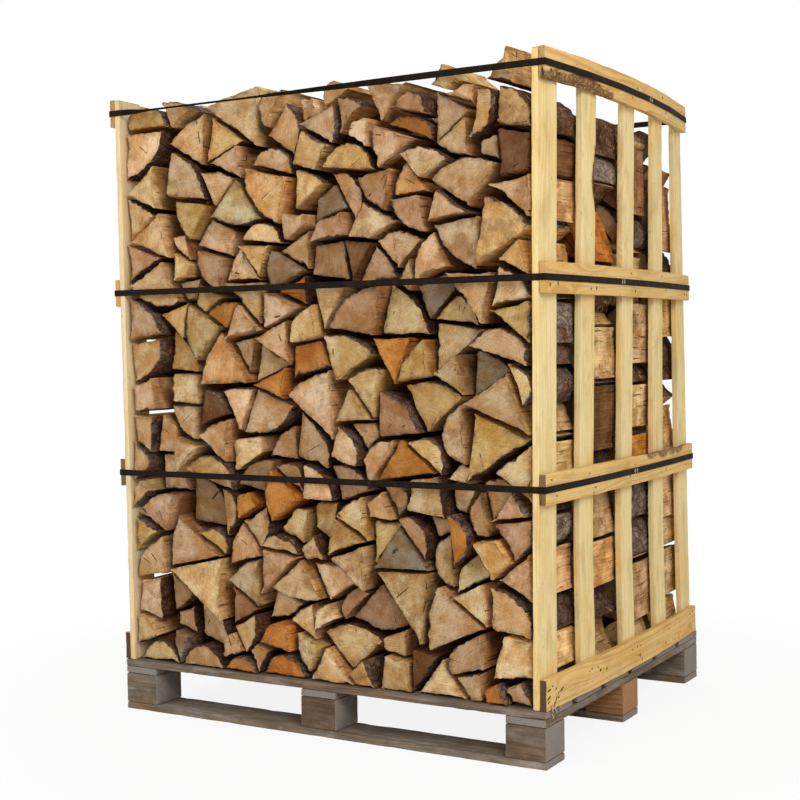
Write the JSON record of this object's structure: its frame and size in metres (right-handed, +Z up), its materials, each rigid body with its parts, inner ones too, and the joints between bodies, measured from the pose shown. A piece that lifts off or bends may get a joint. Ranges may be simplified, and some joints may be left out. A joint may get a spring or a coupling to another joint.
{
  "type": "stack of firewood logs",
  "caption": "Split firewood stacked in rows on a wooden pallet between two slatted side frames, and held together by plastic bands.",
  "frame": {"origin": "middle of the pallet's underside, where it stands on the floor", "axes": "+Z up, +Y to the back along the billets, +X to the right seen from the front, where the billets' sawn ends show; the slatted frames stand at -X and +X"},
  "size_m": [1.2634, 1.0032, 1.5966],
  "materials": {
    "split_wood": "rough split faces, sawn ends and grey-brown bark",
    "pale_pine": "rough-sawn new softwood, pale yellow",
    "tan_pine": "rough-sawn softwood, yellow-brown, with bark left on some edges",
    "weathered_board": "weathered grey-brown rough-sawn boards and blocks",
    "new_block": "one newer orange-brown block",
    "black_plastic": "brown-black plastic strapping"
  },
  "bodies": {
    "root": {"deck_board_1": "weathered_board", "deck_board_2": "weathered_board", "deck_board_3": "weathered_board", "deck_board_4": "weathered_board", "deck_board_5": "weathered_board", "deck_board_6": "weathered_board", "stringer_left": "weathered_board", "block_left_front": "weathered_board", "block_left_middle": "weathered_board", "block_left_back": "weathered_board", "stringer_centre": "weathered_board", "block_centre_front": "weathered_board", "block_centre_middle": "weathered_board", "block_centre_back": "weathered_board", "stringer_right": "weathered_board", "block_right_front": "weathered_board", "block_right_middle": "new_block", "block_right_back": "weathered_board", "bottom_board_front": "weathered_board", "bottom_board_middle": "weathered_board", "bottom_board_back": "weathered_board", "left_slat_1": "pale_pine", "left_slat_2": "pale_pine", "left_slat_3": "pale_pine", "left_slat_4": "pale_pine", "left_slat_5": "pale_pine", "left_rail_1": "tan_pine", "left_rail_2": "tan_pine", "left_rail_3": "tan_pine", "left_rail_4": "tan_pine", "right_slat_1": "pale_pine", "right_slat_2": "pale_pine", "right_slat_3": "pale_pine", "right_slat_4": "pale_pine", "right_slat_5": "pale_pine", "right_rail_1": "tan_pine", "right_rail_2": "tan_pine", "right_rail_3": "tan_pine", "right_rail_4": "tan_pine", "band_bottom": "black_plastic", "band_middle": "black_plastic", "band_top": "black_plastic", "billet_row_1": "split_wood", "billet_row_2": "split_wood", "billet_row_3": "split_wood", "billet_row_4": "split_wood", "loose_billet_1": "split_wood", "loose_billet_2": "split_wood", "loose_billet_3": "split_wood", "loose_billet_4": "split_wood", "loose_billet_5": "split_wood", "loose_billet_6": "split_wood", "loose_billet_7": "split_wood", "loose_billet_8": "split_wood", "loose_billet_9": "split_wood", "loose_billet_10": "split_wood", "loose_billet_11": "split_wood", "loose_billet_12": "split_wood"}
  },
  "joints": []
}
